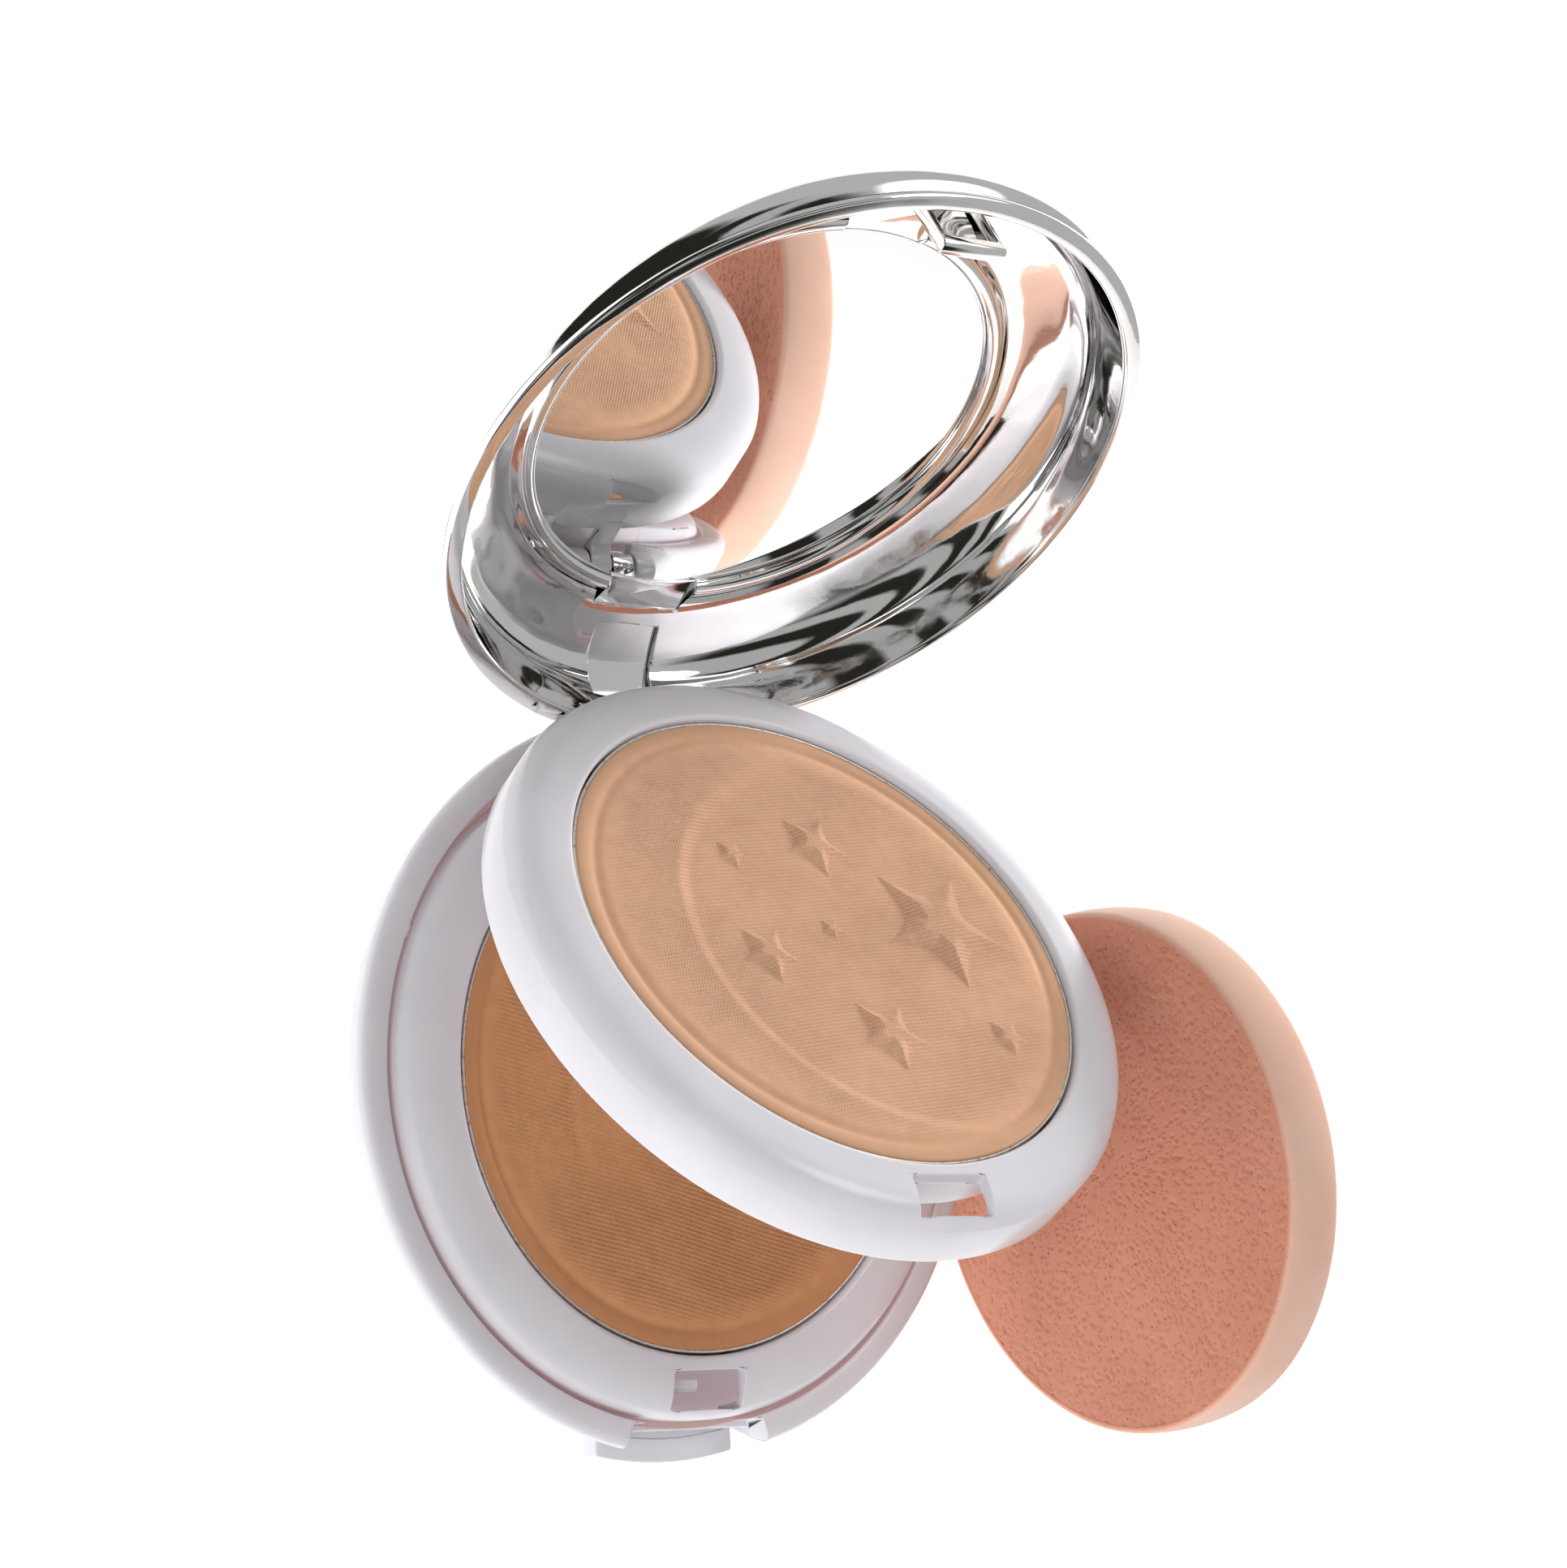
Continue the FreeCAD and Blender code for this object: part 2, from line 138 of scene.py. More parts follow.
def prism(outline, low, high, axis="Z"):
    """Solid with a flat outline, drawn out along an axis. The outline is (x, y) for Z and (y, z) for X."""
    mesh = bmesh.new()

    def corner(u, v, w):
        return mesh.verts.new((u, v, w) if axis == "Z" else (w, u, v))

    bottom = [corner(u, v, low) for u, v in outline]
    top = [corner(u, v, high) for u, v in outline]
    mesh.faces.new(bottom)
    mesh.faces.new(top)
    for i in range(len(outline)):
        j = (i + 1) % len(outline)
        mesh.faces.new([bottom[i], bottom[j], top[j], top[i]])
    bmesh.ops.recalc_face_normals(mesh, faces=mesh.faces)
    data = bpy.data.meshes.new("tool")
    mesh.to_mesh(data)
    mesh.free()
    return new_object("tool", data)


def block(x, y, z, corner_r=0.0):
    """Box between pairs of limits, with rounded upright corners if asked."""
    if corner_r == 0:
        return prism([(x[0], y[0]), (x[1], y[0]), (x[1], y[1]), (x[0], y[1])], *z)
    left, right = x[0] + corner_r, x[1] - corner_r
    front, back = y[0] + corner_r, y[1] - corner_r
    outline = []
    for cx, cy, start in ((right, back, 0), (left, back, 90), (left, front, 180), (right, front, 270)):
        for step in range(0, 91, 15):
            a = math.radians(start + step)
            outline.append((cx + corner_r * math.cos(a), cy + corner_r * math.sin(a)))
    return prism(outline, *z)


def round_bar(radius, x_limits, y=HINGE_Y, z=HINGE_Z):
    sides = 48
    angles = np.arange(sides) * 2 * math.pi / sides
    return prism([(y + radius * math.cos(a), z + radius * math.sin(a)) for a in angles], *x_limits, axis="X")


def upright(radius, low, high, centre=(0, 0)):
    angles = np.arange(TURN_SEGMENTS) * 2 * math.pi / TURN_SEGMENTS
    return prism([(centre[0] + radius * math.cos(a), centre[1] + radius * math.sin(a)) for a in angles],
                 low, high)


def pin_hole():
    return round_bar(PIN_HOLE_R, (-20, 20))


def bake_modifiers(obj):
    """Turn the object's modifiers into its mesh."""
    graph = bpy.context.evaluated_depsgraph_get()
    mesh = bpy.data.meshes.new_from_object(obj.evaluated_get(graph))
    old = obj.data
    obj.modifiers.clear()
    obj.data = mesh
    bpy.data.meshes.remove(old)


def combine(obj, tool, operation):
    modifier = obj.modifiers.new("combine", "BOOLEAN")
    modifier.operation = operation
    modifier.solver = "EXACT"
    modifier.object = tool
    bake_modifiers(obj)
    bpy.data.objects.remove(tool)
    return obj


def cut(obj, *tools):
    for tool in tools:
        combine(obj, tool, "DIFFERENCE")
    return obj


def add(obj, *tools):
    for tool in tools:
        combine(obj, tool, "UNION")
    return obj


def soften(obj, width):
    """Round every sharp edge by a small radius and shade the rest smooth."""
    sharp_angle, same_point = 32, 0.004
    mesh = bmesh.new()
    mesh.from_mesh(obj.data)
    bmesh.ops.remove_doubles(mesh, verts=mesh.verts, dist=same_point)
    bmesh.ops.dissolve_degenerate(mesh, edges=mesh.edges, dist=same_point)
    mesh.to_mesh(obj.data)
    mesh.free()
    bevel = obj.modifiers.new("bevel", "BEVEL")
    bevel.width = width
    bevel.segments = 3
    bevel.limit_method = "ANGLE"
    bevel.angle_limit = math.radians(sharp_angle)
    bevel.use_clamp_overlap = False
    bevel.miter_outer = "MITER_ARC"
    bake_modifiers(obj)
    return shade(obj)


def shade(obj, angle=40):
    obj.data.shade_smooth()
    obj.data.set_sharp_from_angle(angle=math.radians(angle))
    return obj


def both_sides(limits):
    return [limits, (-limits[1], -limits[0])]


def keep_drawn_place(mesh):
    """Store each point's place as drawn, in millimetres, for the materials to read."""
    drawn = np.zeros(len(mesh.vertices) * 3, np.float32)
    mesh.vertices.foreach_get("co", drawn)
    mesh.attributes.new("closed_mm", "FLOAT_VECTOR", "POINT").data.foreach_set("vector", drawn)


def place(obj, open_degrees, body, slot, node):
    """Keep the closed place, swing the piece open, bring it to metres and stand it in for its CAD node."""
    mesh = obj.data
    keep_drawn_place(mesh)
    turn = Matrix.Rotation(math.radians(-open_degrees), 4, "X")
    mesh.transform(Matrix.Translation(HINGE) @ turn @ Matrix.Translation(-HINGE) @ Matrix.Scale(MM, 4))
    mesh.update()
    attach(obj, body)
    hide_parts(node)
    return obj


# --- material helpers -----------------------------------------------------------------
class Surface:
    """A principled material with short calls for the nodes that feed it."""

    def __init__(self, name, **values):
        self.material = bpy.data.materials.new(name)
        self.material.use_nodes = True
        self.tree = self.material.node_tree
        self.shader = self.tree.nodes["Principled BSDF"]
        for key, value in values.items():
            self.shader.inputs[key.replace("_", " ")].default_value = value

    def node(self, kind, inputs=(), **settings):
        made = self.tree.nodes.new(kind)
        for key, value in settings.items():
            setattr(made, key, value)
        for index, value in dict(inputs).items():
            self.feed(made.inputs[index], value)
        return made

    def feed(self, socket, value):
        if isinstance(value, bpy.types.NodeSocket):
            self.tree.links.new(value, socket)
        else:
            socket.default_value = value

    def closed_place(self):
        return self.node("ShaderNodeAttribute", attribute_name="closed_mm").outputs["Vector"]

    def object_place_mm(self):
        here = self.node("ShaderNodeTexCoord").outputs["Object"]
        return self.node("ShaderNodeVectorMath", {0: here, "Scale": 1 / MM}, operation="SCALE").outputs[0]

    def cylinder_place(self, place):
        """Distance from the axis, and height."""
        flat = self.node("ShaderNodeVectorMath", {0: place, 1: (1, 1, 0)}, operation="MULTIPLY").outputs[0]
        radial = self.node("ShaderNodeVectorMath", {0: flat}, operation="LENGTH").outputs["Value"]
        return radial, self.node("ShaderNodeSeparateXYZ", {0: place}).outputs[2]

    def noise(self, place, scale, detail=3.0, roughness=0.5):
        return self.node("ShaderNodeTexNoise", {"Vector": place, "Scale": scale, "Detail": detail,
                                                "Roughness": roughness}).outputs["Fac"]

    def math(self, operation, a, b=0.0):
        return self.node("ShaderNodeMath", {0: a, 1: b}, operation=operation).outputs[0]

    def ramp(self, value, low, high, to_low=0.0, to_high=1.0):
        return self.node("ShaderNodeMapRange", {0: value, 1: low, 2: high, 3: to_low, 4: to_high}).outputs[0]

    def mix(self, share, colour_a, colour_b):
        made = self.node("ShaderNodeMix", data_type="RGBA")
        self.feed(made.inputs[0], share)
        for socket, colour in ((made.inputs[6], colour_a), (made.inputs[7], colour_b)):
            self.feed(socket, colour if isinstance(colour, bpy.types.NodeSocket) else (*colour, 1.0))
        return made.outputs[2]

    def bump(self, height, distance_mm, strength=1.0, normal=None):
        made = self.node("ShaderNodeBump", {"Height": height, "Distance": distance_mm * MM,
                                            "Strength": strength})
        if normal is not None:
            self.feed(made.inputs["Normal"], normal)
        return made.outputs["Normal"]

    def set(self, **sockets):
        for key, value in sockets.items():
            self.feed(self.shader.inputs[key.replace("_", " ")], value)
        return self.material


def white_plastic(name="white_plastic", coordinates=Surface.closed_place, gap_shade_and_glow=False):
    """Glossy cool-white moulding with a little scatter, faint flow marks and handling haze.
    For the base, the last option paints shade, tinted brown, into the gap between its rim and the tray, and
    paints a faint glow onto the inner faces of its bowl."""
    s = Surface(name, Subsurface_Weight=0.12, Subsurface_Radius=(0.9, 0.7, 0.6), Subsurface_Scale=0.0006,
                IOR=1.47)
    here = coordinates(s)
    tone = s.ramp(s.noise(here, 0.09, 2.0), 0.35, 0.65)
    colour = s.mix(tone, (0.735, 0.715, 0.755), (0.765, 0.75, 0.79))
    specks = s.ramp(s.noise(here, 2.6, 2.0), 0.745, 0.77)
    colour = s.mix(s.math("MULTIPLY", specks, 0.5), colour, (0.46, 0.33, 0.27))
    if gap_shade_and_glow:
        radial, height = s.cylinder_place(here)
        # halfway between the bowl's inner and outer faces, which both widen by 0.6 mm per mm of height
        slope = s.math("SUBTRACT", radial, s.math("MULTIPLY", height, 0.603))
        inside = s.math("MULTIPLY", s.ramp(slope, 32.7, 32.4), s.ramp(height, 1.2, 1.5))
        inside = s.math("MULTIPLY", inside, s.ramp(radial, 37.0, 36.85))
        # painted shade, tinted brown, in the gap between the rim and the tray
        gap_shade = s.math("MULTIPLY", inside, s.ramp(radial, 35.2, 35.5))
        gap_shade = s.math("MULTIPLY", gap_shade, s.ramp(height, 11.3, 10.9))
        colour = s.mix(s.math("MULTIPLY", gap_shade, 0.85), colour, (0.36, 0.17, 0.13))
        # painted glow on the inner faces of the bowl, standing in for light in the cavity
        s.set(Emission_Color=(0.62, 0.46, 0.48, 1), Emission_Strength=s.math("MULTIPLY", inside, 0.30))
    haze = s.ramp(s.noise(here, 0.35, 5.0, 0.6), 0.35, 0.7, 0.17, 0.27)
    ripple = s.bump(s.noise(here, 0.22, 2.0), 0.05, 0.5)
    skin = s.bump(s.noise(here, 7.0, 2.0), 0.004, 0.35, ripple)
    return s.set(Base_Color=colour, Roughness=haze, Normal=skin)


def chrome():
    """Vacuum-metallised plastic: bright, a touch warm, slightly wavy, with faint wipe marks."""
    s = Surface("chrome_plastic", Metallic=1.0)
    here = s.closed_place()
    tone = s.ramp(s.noise(here, 0.12, 2.0), 0.35, 0.65)
    colour = s.mix(tone, (0.86, 0.855, 0.84), (0.90, 0.895, 0.885))
    wipe = s.ramp(s.noise(here, 0.7, 6.0, 0.65), 0.45, 0.75, 0.035, 0.10)
    ripple = s.bump(s.noise(here, 0.16, 1.0), 0.12, 0.55)
    grain = s.bump(s.noise(here, 1.4, 3.0), 0.006, 0.3, ripple)
    return s.set(Base_Color=colour, Roughness=wipe, Normal=grain)


def mirror_glass():
    """Silvered glass, nearly flawless, with a few greasy smears."""
    s = Surface("mirror_glass", Metallic=1.0)
    here = s.closed_place()
    smear = s.ramp(s.noise(here, 0.25, 6.0, 0.7), 0.5, 0.8, 0.004, 0.05)
    colour = s.mix(s.ramp(s.noise(here, 0.08, 2.0), 0.3, 0.7), (0.93, 0.94, 0.935), (0.95, 0.955, 0.95))
    return s.set(Base_Color=colour, Roughness=smear)


def pan_tin():
    """Thin pressed tin, a little dented, with powder dusted along it."""
    s = Surface("pan_tin", Metallic=0.85)
    here = s.closed_place()
    dust = s.ramp(s.noise(here, 1.1, 4.0, 0.7), 0.52, 0.66)
    colour = s.mix(s.math("MULTIPLY", dust, 0.75), (0.80, 0.775, 0.73), (0.55, 0.31, 0.18))
    rough = s.ramp(s.noise(here, 3.0, 3.0), 0.3, 0.7, 0.26, 0.46)
    dents = s.bump(s.noise(here, 1.6, 2.0), 0.03, 0.5)
    return s.set(Base_Color=colour, Roughness=rough, Normal=dents)


def pressed_powder(name, light, dark, weave_mm, weave_angle):
    """Pressed powder with the print of the pressing cloth, which fades towards the smooth border."""
    border_r, fade_width = 26.4, 2.5
    s = Surface(name, Sheen_Weight=0.12, Sheen_Roughness=0.6, Specular_IOR_Level=0.18)
    here = s.closed_place()
    turn = s.node("ShaderNodeVectorRotate", {"Vector": here, "Angle": math.radians(weave_angle)},
                  rotation_type="Z_AXIS").outputs[0]
    wander = s.math("MULTIPLY", s.math("SUBTRACT", s.noise(here, 0.05, 0.0), 0.5), 1.2)
    parts = s.node("ShaderNodeSeparateXYZ", {0: turn})
    along = s.math("DIVIDE", parts.outputs[0], weave_mm * 0.82)
    across = s.math("DIVIDE", s.math("ADD", parts.outputs[1], wander), weave_mm)
    row = s.math("FLOOR", across)
    within_row = s.math("SINE", s.math("MULTIPLY", across, 2 * math.pi))
    stagger = s.math("ADD", along, s.math("MULTIPLY", row, 0.5))
    within_column = s.math("SINE", s.math("MULTIPLY", stagger, 2 * math.pi))
    threads = s.math("ADD", s.math("MULTIPLY", within_row, 0.6), s.math("MULTIPLY", within_column, 0.4))
    radial, _ = s.cylinder_place(here)
    printed = s.ramp(radial, border_r, border_r - fade_width)
    patchy = s.ramp(s.noise(here, 0.12, 2.0), 0.3, 0.6, 0.45, 1.0)
    height = s.math("MULTIPLY", threads, s.math("MULTIPLY", printed, patchy))
    grain = s.noise(here, 9.0, 4.0, 0.7)
    clumps = s.noise(here, 0.5, 4.0, 0.6)
    colour = s.mix(s.ramp(clumps, 0.3, 0.7), dark, light)
    # painted shade in the hollows of the cloth print
    painted_pit_shade = s.math("MULTIPLY", s.ramp(height, 0.2, -0.9), 0.38)
    colour = s.mix(painted_pit_shade, colour, tuple(c * 0.66 for c in dark))
    rubbed = s.ramp(radial, POWDER_R - 2.6, POWDER_R - 0.6)
    colour = s.mix(s.math("MULTIPLY", rubbed, 0.55), colour, tuple(c * 0.82 for c in dark))
    fine = s.bump(grain, 0.03, 0.45)
    woven = s.bump(height, 0.09, 1.0, fine)
    rough = s.ramp(grain, 0.3, 0.7, 0.82, 0.95)
    return s.set(Base_Color=colour, Roughness=rough, Normal=woven)


def foam():
    """Cut foam face with fine pores, and a smoother, paler moulded side."""
    s = Surface("puff_foam", Subsurface_Weight=0.25, Subsurface_Radius=(1.0, 0.45, 0.3),
                Subsurface_Scale=0.0015, Sheen_Weight=0.15, Specular_IOR_Level=0.2)
    here = s.closed_place()
    radial, height = s.cylinder_place(here)
    face = s.math("MULTIPLY", s.ramp(radial, 28.5, 27.9), s.ramp(height, 6.3, 6.7))
    cells = s.node("ShaderNodeTexVoronoi", {"Vector": here, "Scale": 2.4, "Randomness": 1.0})
    pores = s.ramp(cells.outputs["Distance"], 0.26, 0.14)
    chosen = s.ramp(s.noise(here, 1.6, 1.0), 0.50, 0.56)
    pores = s.math("MULTIPLY", pores, chosen)
    cloud = s.ramp(s.noise(here, 0.1, 4.0, 0.6), 0.3, 0.7)
    face_colour = s.mix(cloud, (0.56, 0.235, 0.150), (0.62, 0.275, 0.185))
    side_colour = s.mix(cloud, (0.76, 0.47, 0.36), (0.80, 0.53, 0.42))
    colour = s.mix(face, side_colour, face_colour)
    # painted shade inside the pores of the face
    colour = s.mix(s.math("MULTIPLY", pores, s.math("MULTIPLY", face, 0.55)), colour, (0.36, 0.11, 0.06))
    fine = s.bump(s.noise(here, 5.5, 4.0, 0.7), 0.06, 0.5)
    pitted = s.bump(s.math("MULTIPLY", s.math("MULTIPLY", pores, face), -1.0), 0.2, 0.8, fine)
    return s.set(Base_Color=colour, Roughness=s.ramp(cloud, 0, 1, 0.8, 0.92), Normal=pitted)


def plain_object(name, base, other, rough, metallic=0.0):
    """Quiet material for a CAD node that is mostly out of sight, with its own grain and tone."""
    scale = 0.5
    s = Surface(name, Metallic=metallic)
    here = s.object_place_mm()
    colour = s.mix(s.ramp(s.noise(here, scale, 3.0), 0.3, 0.7), base, other)
    grain = s.bump(s.noise(here, scale * 8, 3.0), 0.01, 0.4)
    worn = s.ramp(s.noise(here, scale * 3, 3.0), 0.3, 0.7, rough, rough + 0.15)
    return s.set(Base_Color=colour, Roughness=worn, Normal=grain)


def give(obj, material):
    obj.data.materials.clear()
    obj.data.materials.append(material)
    return obj


# --- base -----------------------------------------------------------------------------
def make_base():
    """Bowl with the puff well, the hinge bay at the back and the thumb recess at the front."""
    label_r, label_z = 26.6, 0.4
    foot_r, widest_r, rim_z = 31.0, 39.8, 11.4
    rim_inner_r, ledge_z = 36.8, 8.3
    well_r, well_floor_z, well_floor_r = 35.4, 1.5, 31.2
    base = turned(
        "base_body",
        [(0, label_z), (label_r, label_z)],
        [(label_r, label_z), (label_r + 0.5, 0)],
        [(label_r + 0.5, 0), (foot_r, 0)],
        [(foot_r, 0), (34.6, 1.2), (37.4, 4.2), (39.2, 7.9), (widest_r, 10.1)],
        [(widest_r, 10.1), (39.65, 10.8), (39.1, 11.25), (38.4, rim_z)],
        [(38.4, rim_z), (37.2, rim_z)],
        [(37.2, rim_z), (36.92, 11.3), (rim_inner_r, 11.0)],
        [(rim_inner_r, 11.0), (rim_inner_r, ledge_z)],
        [(rim_inner_r, ledge_z), (well_r, ledge_z)],
        [(well_r, ledge_z), (35.0, 5.8), (33.6, 3.2), (well_floor_r, well_floor_z)],
        [(well_floor_r, well_floor_z), (0, well_floor_z)],
    )

    # flat back, and a bay in it for the knuckles of the lid and the trays
    rear_flat_y, bay_half_x = 37.0, 9.1
    cut(base, block((-20, 20), (rear_flat_y, 45), (-1, 12)))
    cut(base, block((-bay_half_x, bay_half_x), (34.4, 45), (5.0, 12)))
    for limits in both_sides((9.3, 12.0)):
        add(base, block(limits, (35.2, rear_flat_y - 0.05), (4.0, 8.4)), round_bar(KNUCKLE_R, limits))

    # thumb recess with a lip under it
    lip_r, lip_half_x, lip_z = 40.3, 8.9, (2.4, 4.85)
    recess = prism([(-8.4, -36.2), (8.4, -36.2), (10.4, -42), (-10.4, -42)], 4.9, 12.9)
    cut(recess, block((-20, 20), (-37.0, -30), (0, ledge_z)))
    cut(base, recess)
    lip = upright(lip_r, *lip_z)
    cut(lip, upright(36.0, 2, 6), block((lip_half_x, 50), (-60, 60), (0, 6)),
        block((-50, -lip_half_x), (-60, 60), (0, 6)), block((-50, 50), (0, 60), (0, 6)))
    add(base, lip)

    # two small stops on the rim's inner wall
    stop_angle = 24.0
    for side in (stop_angle, 180 - stop_angle):
        stop = block((36.5, 37.4), (-0.8, 0.8), (8.2, 11.0))
        stop.data.transform(Matrix.Rotation(math.radians(side), 4, "Z"))
        add(base, stop)
    soften(base, 0.2)
    give(base, materials["base"])
    return place(base, 0, "base", "white_plastic", "base_shell")


# --- trays ----------------------------------------------------------------------------
def tray_ring(name, top_z, skirt_z, pocket_z, edge_drop):
    """Ring with a hanging skirt and a pan pocket, and the latch window through its front.
    edge_drop is how far the ring's top falls from its inner lip to its rounded edge."""
    edge_z, floor_z = top_z - edge_drop, pocket_z - 1.0
    wall_r, skirt_in = POCKET_R + 1.1, TRAY_R - SKIRT_T
    tray = turned(
        name,
        [(0, pocket_z), (POCKET_R, pocket_z)],
        [(POCKET_R, pocket_z), (POCKET_R, top_z - 0.35)],
        [(POCKET_R, top_z - 0.35), (POCKET_R + 0.25, top_z - 0.08), (POCKET_R + 0.7, top_z)],
        [(POCKET_R + 0.7, top_z), (32.6, top_z - 0.2), (34.3, top_z - 0.7), (35.5, edge_z + 0.5),
         (TRAY_R, edge_z - 0.7)],
        [(TRAY_R, edge_z - 0.7), (TRAY_R, skirt_z + 0.3)],
        [(TRAY_R, skirt_z + 0.3), (TRAY_R - 0.1, skirt_z + 0.08), (TRAY_R - 0.3, skirt_z)],
        [(TRAY_R - 0.3, skirt_z), (skirt_in, skirt_z)],
        [(skirt_in, skirt_z), (skirt_in, edge_z - 0.75), (skirt_in - 0.6, edge_z + 0.05), (33.2, top_z - 1.6),
         (wall_r + 0.5, top_z - 1.45)],
        [(wall_r + 0.5, top_z - 1.45), (wall_r, top_z - 1.9)],
        [(wall_r, top_z - 1.9), (wall_r, floor_z)],
        [(wall_r, floor_z), (0, floor_z)],
    )
    return cut(tray, block((-4.6, 4.6), (-35.1, -31.0), (skirt_z - 1, top_z + 1), corner_r=0.35))


def finish_tray(tray, open_degrees, body, node):
    cut(tray, pin_hole())
    soften(tray, 0.14)
    give(tray, materials["white"])
    return place(tray, open_degrees, body, "white_plastic", node)


def make_lower_tray():
    """Its ring and skirt draw in towards the hinge, to a circle with its centre nearer the latch."""
    skirt_z = 8.6
    tray = tray_ring("lower_tray_body", 13.9, skirt_z, LOWER_POCKET_Z, 1.9)
    relief_r, relief_centre = 38.9, (0, -4.0)
    relief = upright(60, 0, 40)
    cut(relief, upright(relief_r, -1, 41, relief_centre))
    cut(tray, relief)

    rear_half_x = 22
    rear = upright(relief_r - 0.03, skirt_z, 12.5, relief_centre)
    cut(rear, upright(relief_r - SKIRT_T, 0, 40, relief_centre), block((-60, 60), (-60, 20), (0, 40)),
        block((rear_half_x, 60), (-60, 60), (0, 40)), block((-60, -rear_half_x), (-60, 60), (0, 40)))
    outside = upright(60, 0, 41)
    cut(outside, upright(TRAY_R - 0.12, -1, 42))
    cut(rear, outside)

    limits = (-2.9, 2.9)
    arm = prism([(34.2, 8.62), (HINGE_Y, 6.7), (HINGE_Y, 10.3), (34.2, 11.4)], *limits, axis="X")
    add(tray, rear, arm, round_bar(KNUCKLE_R, limits))
    return finish_tray(tray, 0, "lower_leaf", "lower_tray")


def make_upper_tray():
    """It has a fingernail notch in the skirt, and a flat in the ring's rear edge beside the hinge."""
    tray = tray_ring("upper_tray_body", 20.8, 13.2, UPPER_POCKET_Z, 2.1)
    notch_r, notch_z, notch_angle = 3.2, 12.6, -56
    notch = round_bar(notch_r, (33.5, 40.0), 0, notch_z)
    notch.data.transform(Matrix.Rotation(math.radians(notch_angle), 4, "Z"))
    cut(tray, notch)
    cut(tray, block((2.0, 12.5), (34.9, 40), (17.2, 22)))
    for limits in both_sides((3.1, 5.9)):
        arm = prism([(35.2, HINGE_Z), (35.2, 14.5), (36.0, 14.5), (36.1, 11.2), (37.4, 10.2), (38.6, 9.1),
                     (38.6, HINGE_Z)], *limits, axis="X")
        add(tray, arm, round_bar(KNUCKLE_R, limits))
    return finish_tray(tray, UPPER_OPEN, "upper_leaf", "upper_tray")


def make_pan(name, pocket_z, open_degrees, body, node):
    """Tin pan with a rolled rim."""
    glue_t, sheet_t = 0.2, 0.3
    outer_r, inner_r = POWDER_R + sheet_t, POWDER_R
    bottom, rim = pocket_z + glue_t, pocket_z + PAN_RIM_ABOVE_POCKET
    pan = turned(
        name,
        [(0, bottom), (28.8, bottom)],
        [(28.8, bottom), (29.1, bottom + 0.12), (outer_r, bottom + 0.45)],
        [(outer_r, bottom + 0.45), (outer_r, rim - 0.12)],
        [(outer_r, rim - 0.12), (29.2, rim - 0.03), (29.1, rim), (29.0, rim - 0.03), (inner_r, rim - 0.12)],
        [(inner_r, rim - 0.12), (inner_r, bottom + 0.6)],
        [(inner_r, bottom + 0.6), (28.85, bottom + 0.4), (28.6, bottom + sheet_t)],
        [(28.6, bottom + sheet_t), (0, bottom + sheet_t)],
    )
    shade(pan)
    give(pan, materials["tin"])
    return place(pan, open_degrees, body, "pan_tin", node)


# --- powders --------------------------------------------------------------------------
def eased(share):
    share = np.clip(share, 0, 1)
    return share * share * (3 - 2 * share)


def star_height(x, y, cx, cy, size, rise):
    """Puffed five-pointed star: its sides bow inward, its flanks slope up to a ridge down each arm."""
    dx, dy = x - cx, y - cy
    half = math.pi / 5
    angle = np.arctan2(dy, dx) + math.pi / 2
    folded = np.abs((angle + half) % (2 * half) - half)
    radius = np.hypot(dx, dy)
    u, v = radius * np.cos(folded), radius * np.sin(folded)
    notch_r, bow, flank = 0.47 * size, 0.16 * size, 0.24 * size
    ix, iy = notch_r * math.cos(half), notch_r * math.sin(half)
    length = math.hypot(size - ix, iy)
    inside = ((size - u) * iy - v * (size - ix)) / length
    along = np.clip(((size - u) * (size - ix) + v * iy) / length ** 2, 0, 1)
    inside = inside - bow * along * (1 - along)
    return rise * np.clip(inside / flank, 0, 1) ** 0.8


# centre x, centre y, radius to the points, rise
STARS = ((15.4, 1.6, 8.8, 0.85), (3.7, 12.3, 4.6, 0.60), (1.8, -13.0, 5.1, 0.65), (-9.0, -2.8, 4.3, 0.58),
         (-7.8, 10.4, 2.3, 0.36), (17.2, -13.1, 3.0, 0.42), (0.7, 0.7, 1.7, 0.28))


def border_height(r):
    """A rolled outer edge, a shallow groove inside it, and the start of the flat field."""
    groove_r, field_r = 26.9, 26.7
    edge = np.clip((POWDER_R - r) / 0.8, 0, 1)
    rolled = 0.18 * np.sqrt(1 - (1 - edge) ** 2) - 0.1
    groove = -0.22 * np.exp(-((r - groove_r) / 0.6) ** 2)
    field = 0.14 * np.clip((field_r - r) / 2.4, 0, 1) ** 0.8
    return rolled + groove + field


def from_crescent(x, y):
    """Distance outside the crescent's inner edge, and how far round from its middle towards its tips."""
    centre_x, centre_y, radius = 5.9, -1.7, 22.0
    return np.hypot(x - centre_x, y - centre_y) - radius, x * 0.87 + y * 0.5


def crescent_height(x, y):
    """Moon along the left and front: a step up at its inner edge, then a long fall outwards."""
    rise, step, fall = 0.5, 1.9, 4.0
    outside, round_to_tip = from_crescent(x, y)
    ends = np.clip((9.0 - round_to_tip) / 10.0, 0, 1)
    return rise * eased(outside / step) * np.exp(-np.clip(outside - step, 0, None) / fall) * ends


